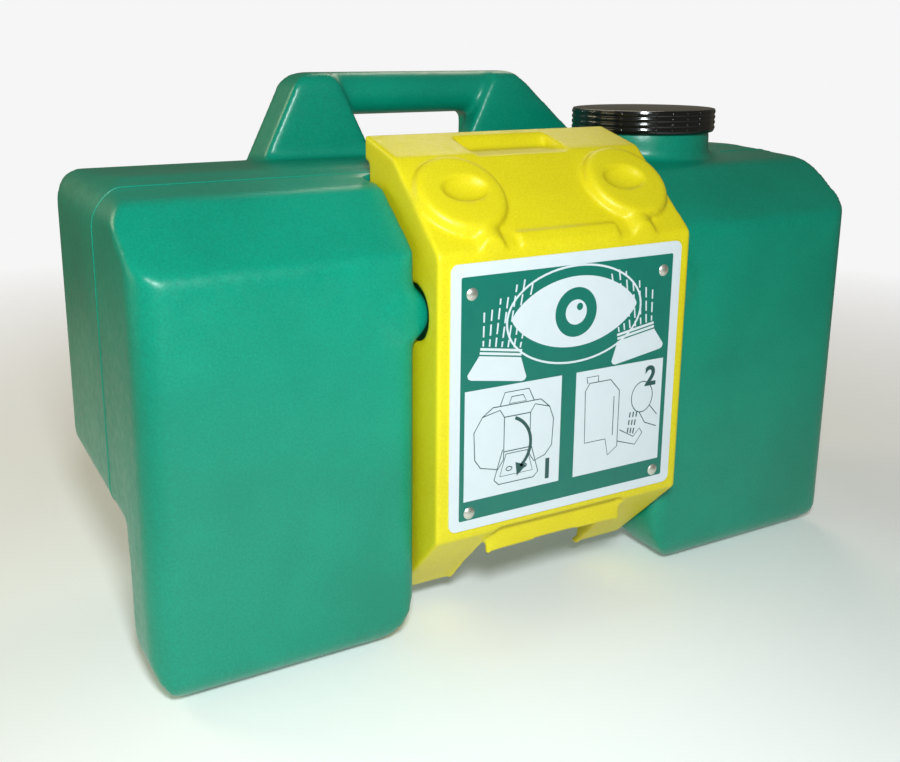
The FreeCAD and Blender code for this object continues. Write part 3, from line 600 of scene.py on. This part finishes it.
class EYEWASH_OT_cap(bpy.types.Operator):
    """The screw cap: a crowned top, a banded skirt and columns of grip beads"""
    bl_idname = "eyewash.cap"
    bl_label = "Cap"

    def execute(self, context):
        sizes = context.scene.eyewash_cap
        low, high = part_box("fill_cap")
        centre = (low + high) / 2
        radius = (high.x - low.x) / 2
        wall, plate, rim, bead = 5.8 * MM, 3.4 * MM, 2.2 * MM, 1 * MM
        skirt_top = high.z - rim
        grip_radius, centre_hole, skirt_foot = radius - 0.2 * MM, 1 * MM, low.z + 1.2 * MM
        inside = radius - wall
        profile = [
            (centre_hole, high.z - plate), (inside, high.z - plate), (inside, low.z + 0.6 * MM),
            (inside + 1 * MM, low.z), (radius - 1.4 * MM, low.z), (radius - 0.6 * MM, low.z + 0.4 * MM)]
        band = (skirt_top - skirt_foot) / sizes.bands
        for i in range(sizes.bands):
            foot = skirt_foot + band * i
            profile += arc((grip_radius, foot), (grip_radius, foot + band), sizes.bulge, 8)
        for i in range(9):
            turn = math.pi / 2 * i / 8
            profile.append((radius - rim + rim * math.cos(turn),
                            skirt_top + (rim - sizes.crown) * math.sin(turn)))
        for i in range(1, 9):
            share = i / 8
            profile.append(((radius - rim) * (1 - share) + centre_hole * share,
                            high.z - sizes.crown * (1 - share) ** 2))
        body = lathe("cap_body", centre, profile, 192)
        beads = []
        for row in range(sizes.bands):
            height = skirt_foot + band * (row + 0.5)
            deselect()
            bpy.ops.mesh.primitive_uv_sphere_add(
                segments=12, ring_count=8, radius=bead, scale=(0.9, 1.1, 1.9),
                location=(centre.x + radius + sizes.bulge - 0.6 * MM, centre.y, height))
            first = place_mesh(bpy.context.object)
            bpy.ops.object.mode_set(mode="EDIT")
            bpy.ops.mesh.select_all(action="SELECT")
            bpy.ops.mesh.spin(steps=sizes.columns, dupli=True, angle=2 * math.pi, use_auto_merge=False,
                              center=centre, axis=(0, 0, 1))
            bpy.ops.mesh.remove_doubles(threshold=SAME)
            bpy.ops.mesh.select_all(action="SELECT")
            bpy.ops.mesh.normals_make_consistent(inside=False)
            bpy.ops.object.mode_set(mode="OBJECT")
            beads.append(first)
        cap = join("cap_skin", [body] + beads)
        bpy.ops.object.shade_smooth_by_angle(angle=math.radians(40))
        dress(cap, "cap", "cap_plastic")
        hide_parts("fill_cap")
        return {"FINISHED"}


# ------------------------------------------------------------------ sign
# Places on the sign are in millimetres, X across and Z up.

FIELD = (-95.3, -4.4, 190.6, 183, 1.5)   # left, bottom, width, height and corner of the green field
EYE = (4.0, 143.0)                       # middle of the eye
EYE_POINT = 1.45                         # above 1, the eye's corners are drawn out
PANELS = ((-91.5, 10.5), (6.5, 10.5))    # lower left corner of each panel
PANEL_SIZE = 84.5
NUMERALS = ((68, 5), (67, 64))           # place of each numeral in its panel
NUMERAL_SIZE = 22
NUMERAL_WEIGHT = 0.7                     # how much each stroke of a numeral is thickened


def circle(x, z, radius, count=48, low=0.0, high=360.0, stretch=1.0):
    """Points round an ellipse; a full turn leaves out the last."""
    steps = count if high - low >= 360 else count - 1
    turns = [math.radians(low + (high - low) * i / steps) for i in range(count)]
    return [(x + radius * math.cos(turn), z + radius * stretch * math.sin(turn)) for turn in turns]


def lens_shape(x, z, half, rise, drop, count=40):
    """An eye's outline: two arches that meet in points."""
    turns = [math.pi * i / count for i in range(count)]
    upper = [(x + half * math.cos(turn), z + rise * math.sin(turn) ** EYE_POINT) for turn in turns]
    lower = [(x - half * math.cos(turn), z - drop * math.sin(turn) ** EYE_POINT) for turn in turns]
    return upper + lower


def rectangle(x, z, width, height, corner=0.0):
    if not corner:
        return [(x, z), (x + width, z), (x + width, z + height), (x, z + height)]
    points = []
    right, top = x + width - corner, z + height - corner
    for cx, cz, low in ((right, z + corner, -90), (right, top, 0), (x + corner, top, 90),
                        (x + corner, z + corner, 180)):
        points += circle(cx, cz, corner, 7, low, low + 90)
    return points


def turned(points, x, z, degrees):
    c, s = math.cos(math.radians(degrees)), math.sin(math.radians(degrees))
    return [(x + px * c - pz * s, z + px * s + pz * c) for px, pz in points]


def bar(x0, z0, x1, z1, width):
    """A straight dash of a given width."""
    dx, dz = x1 - x0, z1 - z0
    size = math.hypot(dx, dz)
    nx, nz = -dz / size * width / 2, dx / size * width / 2
    return [(x0 + nx, z0 + nz), (x0 - nx, z0 - nz), (x1 - nx, z1 - nz), (x1 + nx, z1 + nz)]


def stand_up(piece, face, low, thick):
    """Turns a flat mesh, drawn in millimetres, upright and sets it on the sign's face."""
    piece.rotation_euler = (math.pi / 2, 0, 0)
    piece.scale = (MM, MM, 1)
    piece.location = (0, face - low - thick / 2, 0)
    return place_mesh(piece)


def printed(name, outlines, face, low, thick):
    """Filled flat shapes; an outline inside another is a hole."""
    curve = bpy.data.curves.new(name, "CURVE")
    curve.dimensions, curve.fill_mode, curve.extrude = "2D", "BOTH", thick / 2
    for outline in outlines:
        spline = curve.splines.new("POLY")
        spline.points.add(len(outline) - 1)
        for point, (x, z) in zip(spline.points, outline):
            point.co = (x, z, 0, 1)
        spline.use_cyclic_u = True
    piece = bpy.data.objects.new(name, curve)
    bpy.context.scene.collection.objects.link(piece)
    activate(piece)
    bpy.ops.object.convert(target="MESH")
    return stand_up(bpy.context.object, face, low, thick)


def drawn(name, lines, face, low, width, thick):
    """Raised lines of an even width: (points, closed)."""
    curve = bpy.data.curves.new(name, "CURVE")
    curve.dimensions, curve.bevel_depth, curve.bevel_resolution = "3D", width / MM / 2, 1
    curve.use_fill_caps = True
    for points, closed in lines:
        spline = curve.splines.new("POLY")
        spline.points.add(len(points) - 1)
        for point, (x, z) in zip(spline.points, points):
            point.co = (x, z, 0, 1)
        spline.use_cyclic_u = closed
    piece = bpy.data.objects.new(name, curve)
    bpy.context.scene.collection.objects.link(piece)
    activate(piece)
    bpy.ops.object.convert(target="MESH")
    piece = bpy.context.object
    piece.rotation_euler = (math.pi / 2, 0, 0)
    piece.scale = (MM, MM, thick / width * MM)
    piece.location = (0, face - low, 0)
    return place_mesh(piece)


def numeral(text, x, z, size, face, low, thick):
    deselect()
    bpy.ops.object.text_add()
    made = bpy.context.object
    made.data.body, made.data.size, made.data.extrude = text, size, thick / 2
    made.data.offset = NUMERAL_WEIGHT
    bpy.ops.object.convert(target="MESH")
    made = bpy.context.object
    made.rotation_euler = (math.pi / 2, 0, 0)
    made.scale = (MM, MM, 1)
    made.location = (x * MM, face - low - thick / 2, z * MM)
    return place_mesh(made)


def spray(side):
    """A spray head leaning inwards, with its fan of dashed jets."""
    x, z, lean = side * 64.0, 106.0, side * 9.0
    head = [(-22, -6.5), (-24.5, -5.5), (-25.5, -3), (-18, 11.5),
            (18, 11.5), (25.5, -3), (24.5, -5.5), (22, -6.5)]
    shapes = [turned(head, x, z, lean),
              turned(rectangle(-18, 12.6, 36, 1.9), x, z, lean),
              turned(rectangle(-18, 15.6, 36, 1.9), x, z, lean)]
    jets, jet_width, gap, later_dash = 7, 1.25, 2.6, 8.2
    for i in range(jets):
        share = i / (jets - 1) - 0.5
        foot_x, foot_z = turned([(share * 32, 18.6)], x, z, lean)[0]
        tip_x = foot_x - side * 5.0 + share * 9
        tip_z = 173.0 - 26 * abs(share + side * 0.32)
        reach = math.hypot(tip_x - foot_x, tip_z - foot_z)
        at = 0.0
        dash = 4.2 + 1.3 * (i % 3)
        while at + 2 < reach:
            end = min(at + dash, reach)
            across, up = (tip_x - foot_x) / reach, (tip_z - foot_z) / reach
            shapes.append(bar(foot_x + across * at, foot_z + up * at,
                              foot_x + across * end, foot_z + up * end, jet_width))
            at = end + gap
            dash = later_dash
    return shapes


def opening_drawing(x, z):
    """The station from the front and above, its tray being pulled down."""
    lines = [
        ([(9, 31), (8, 52), (15, 63), (30, 66), (34, 60), (34, 27), (29, 20), (14, 24)], True),
        ([(57, 60), (61, 66), (74, 62), (78, 52), (77, 31), (71, 24), (61, 21), (57, 27)], True),
        ([(15, 63), (24, 69), (66, 69), (74, 62)], False),
        ([(30, 69), (34, 79), (55, 79), (60, 69)], False),
        ([(38, 70), (40, 75), (50, 75), (53, 70)], True),
        ([(34, 33), (57, 33)], False), ([(34, 60), (57, 60)], False),
        ([(33, 35), (26, 12), (30, 8), (61, 8), (65, 12), (58, 35)], False),
        ([(36, 31), (31, 14), (60, 14), (55, 31)], True),
        (circle(39, 19, 2.6, 16, stretch=0.6), True), (circle(52, 19, 2.6, 16, stretch=0.6), True)]
    shifted = [([(x + px, z + pz) for px, pz in points], closed) for points, closed in lines]
    sweep = circle(x + 35, z + 37, 24, 14, 68, -52)
    inner = circle(x + 35, z + 37, 21.4, 14, 68, -52)
    tip = [(x + 54.5, z + 19.0), (x + 46.0, z + 12.0), (x + 44.6, z + 23.0)]
    return shifted, [sweep + inner[::-1], tip]


def rinsing_drawing(x, z):
    """The station from the side, its tray open, with jets that rise to a face held over it."""
    lines = [
        ([(10, 26), (9, 68), (13, 74), (33, 74), (42, 64), (42, 18), (33, 12), (30, 26)], True),
        ([(11, 74), (10, 79), (21, 79), (21, 74)], False),
        ([(42, 22), (60, 16), (67, 25), (64, 29), (58, 23), (44, 31)], False),
        ([(37, 60), (37, 28)], False),
        (circle(65, 55, 10.5, 28, stretch=1.2), True),
        ([(73, 47), (81, 38)], False), ([(63, 42.5), (69, 33), (81, 28)], False)]
    shifted = [([(x + px, z + pz) for px, pz in points], closed) for points, closed in lines]
    jets, jet_width = [], 1.1
    for i in range(3):
        foot = Vector((x + 52 + 2.6 * i, z + 26 - 0.8 * i))
        rise = Vector((x + 54 + 3.4 * i, z + 45)) - foot
        for k in range(3):
            start, end = foot + rise * (0.06 + 0.33 * k), foot + rise * (0.28 + 0.33 * k)
            jets.append(bar(*start, *end, jet_width))
    return shifted, jets


class EYEWASH_OT_sign(bpy.types.Operator):
    """The printed sign: green field, an eye between two sprays, and two instruction panels"""
    bl_idname = "eyewash.sign"
    bl_label = "Sign"

    def execute(self, context):
        sizes = context.scene.eyewash_sign
        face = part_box("sign_plate")[0].y
        ink = sizes.print_height
        field = printed("sign_field", [rectangle(*FIELD)], face, 0, ink)
        dress(field, "tray", "sign_face", printed_vinyl("sign_green_ink", sizes.green, "#087863"))
        eye_x, eye_z = EYE
        ring = [circle(eye_x, eye_z - 2, 62, 64, stretch=0.61),
                circle(eye_x, eye_z - 2, 60.4, 64, stretch=0.6)]
        eye = [lens_shape(eye_x, eye_z, 57, 27, 27), circle(eye_x, eye_z - 0.5, 19)]
        pupil = [circle(eye_x, eye_z - 0.5, 9.6), circle(eye_x + 3.2, eye_z + 3.4, 2.9, 24)]
        panels = [rectangle(x, z, PANEL_SIZE, PANEL_SIZE) for x, z in PANELS]
        marks = [printed("sign_ring", ring, face, ink, ink),
                 printed("sign_eye", eye, face, ink, ink * 1.1),
                 printed("sign_pupil", pupil, face, ink, ink),
                 printed("sign_panels", panels, face, ink, ink)]
        for side in (-1, 1):
            marks.append(printed("sign_spray", spray(side), face, ink, ink * 1.2))
        marks = join("sign_marks", marks)
        dress(marks, "tray", "sign_face")
        lines, solids = opening_drawing(*PANELS[0])
        more, jets = rinsing_drawing(*PANELS[1])
        drawings = [
            drawn("sign_lines", lines + more, face, ink * 2, sizes.stroke, ink * 2),
            printed("sign_solids", solids + jets, face, ink * 2, ink * 1.2),
            *(numeral(text, x + across, z + up, NUMERAL_SIZE, face, ink * 2, ink)
              for text, (x, z), (across, up) in zip("12", PANELS, NUMERALS))]
        drawings = join("sign_drawings", drawings)
        dress(drawings, "tray", "sign_face", printed_vinyl("sign_line_ink", sizes.line, "#2A5653"))
        return {"FINISHED"}


# ------------------------------------------------------------------ small parts

class EYEWASH_OT_fittings(bpy.types.Operator):
    """Finishes for the fittings, seals, hoses, rivets and sign plate"""
    bl_idname = "eyewash.fittings"
    bl_label = "Fittings"

    def execute(self, context):
        for part in frame["record"]["subparts"]:
            node = frame["nodes"][part["node"]]
            node.data.materials.clear()
            node.data.materials.append(slot_material(part["material_slot"]))
        return {"FINISHED"}


# ------------------------------------------------------------------ stage

def lamp(name, place, target, size, power, colour):
    deselect()
    bpy.ops.object.light_add(type="AREA", location=place)
    made = bpy.context.object
    made.name = name
    made.data.shape, made.data.size, made.data.energy, made.data.color = "SQUARE", size, power, colour
    made.rotation_euler = (Vector(target) - Vector(place)).to_track_quat("-Z", "Y").to_euler()


class EYEWASH_OT_stage(bpy.types.Operator):
    """A plain pale floor, soft studio light and the camera"""
    bl_idname = "eyewash.stage"
    bl_label = "Stage"

    def execute(self, context):
        sizes = context.scene.eyewash_stage
        low, high = CAD_BOX
        middle = (Vector(low) + Vector(high)) / 2
        deselect()
        width, back, gap = 14, 2, 0.5 * MM
        bpy.ops.mesh.primitive_plane_add(size=width, location=(0, back, low[2] - gap))
        floor = bpy.context.object
        floor.name = "floor"
        place_mesh(floor)
        made, tree, place = new_material("pale_floor")
        away = add(tree, "ShaderNodeVectorMath", {0: place}, operation="LENGTH").outputs["Value"]
        fade = spread(tree, away, sizes.floor_near, sizes.floor_far, 0.0, 1.0)
        paint = add(tree, "ShaderNodeBsdfPrincipled", {
            "Base Color": two_tone(tree, noise(tree, place, 0.4), sizes.floor, "#FBFBFA"),
            "Roughness": 0.8, "Emission Color": linear("#FFFFFF"),
            "Emission Strength": sizes.floor_glow})
        clear = add(tree, "ShaderNodeBsdfTransparent")
        both = add(tree, "ShaderNodeMixShader", {0: fade, 1: paint.outputs[0], 2: clear.outputs[0]})
        add(tree, "ShaderNodeOutputMaterial", {"Surface": both.outputs[0]})
        floor.data.materials.append(made)
        world = bpy.data.worlds.new("studio")
        world.use_nodes = True
        tree = world.node_tree
        tree.nodes.clear()
        room = add(tree, "ShaderNodeBackground", {
            "Color": linear(sizes.room), "Strength": sizes.room_light})
        backdrop = add(tree, "ShaderNodeBackground", {
            "Color": linear("#FFFFFF"), "Strength": sizes.backdrop})
        seen = add(tree, "ShaderNodeLightPath").outputs["Is Camera Ray"]
        both = add(tree, "ShaderNodeMixShader", {0: seen, 1: room.outputs[0], 2: backdrop.outputs[0]})
        add(tree, "ShaderNodeOutputWorld", {"Surface": both.outputs[0]})
        context.scene.world = world
        for name, place, size, power, colour in LAMPS:
            lamp(name, place, middle, size, power, linear(colour)[:3])
        deselect()
        bpy.ops.object.camera_add(location=sizes.camera_at, rotation=(sizes.pitch, 0, sizes.heading))
        camera = context.object
        camera.data.lens = sizes.lens
        camera.data.shift_x, camera.data.shift_y = sizes.shift_x, sizes.shift_y
        camera.data.clip_start = 0.05
        context.scene.camera = camera
        context.scene.view_settings.view_transform = "Standard"
        return {"FINISHED"}


# ------------------------------------------------------------------ add-on

OPERATORS = (EYEWASH_OT_fittings, EYEWASH_OT_tank, EYEWASH_OT_parting_line, EYEWASH_OT_tray,
             EYEWASH_OT_cap, EYEWASH_OT_sign, EYEWASH_OT_stage)


class EYEWASH_PT_panel(bpy.types.Panel):
    """Lists the station's sizes and the steps that build it"""
    bl_label = "Eyewash station"
    bl_idname = "EYEWASH_PT_panel"
    bl_space_type = "VIEW_3D"
    bl_region_type = "UI"
    bl_category = "Eyewash"

    def draw(self, context):
        for name, group in GROUPS.items():
            box = self.layout.box()
            for key in group.__annotations__:
                box.prop(getattr(context.scene, name), key)
        for operator in OPERATORS:
            self.layout.operator(operator.bl_idname)


def register():
    for each in (*GROUPS.values(), *OPERATORS, EYEWASH_PT_panel):
        bpy.utils.register_class(each)
    for name, group in GROUPS.items():
        setattr(bpy.types.Scene, name, PointerProperty(type=group))


def unregister():
    for name in GROUPS:
        delattr(bpy.types.Scene, name)
    for each in reversed((*GROUPS.values(), *OPERATORS, EYEWASH_PT_panel)):
        bpy.utils.unregister_class(each)


def main():
    register()
    for step in ("stage", "fittings", "tank", "parting_line", "tray", "cap", "sign"):
        getattr(bpy.ops.eyewash, step)()


if __name__ == "__main__":
    main()
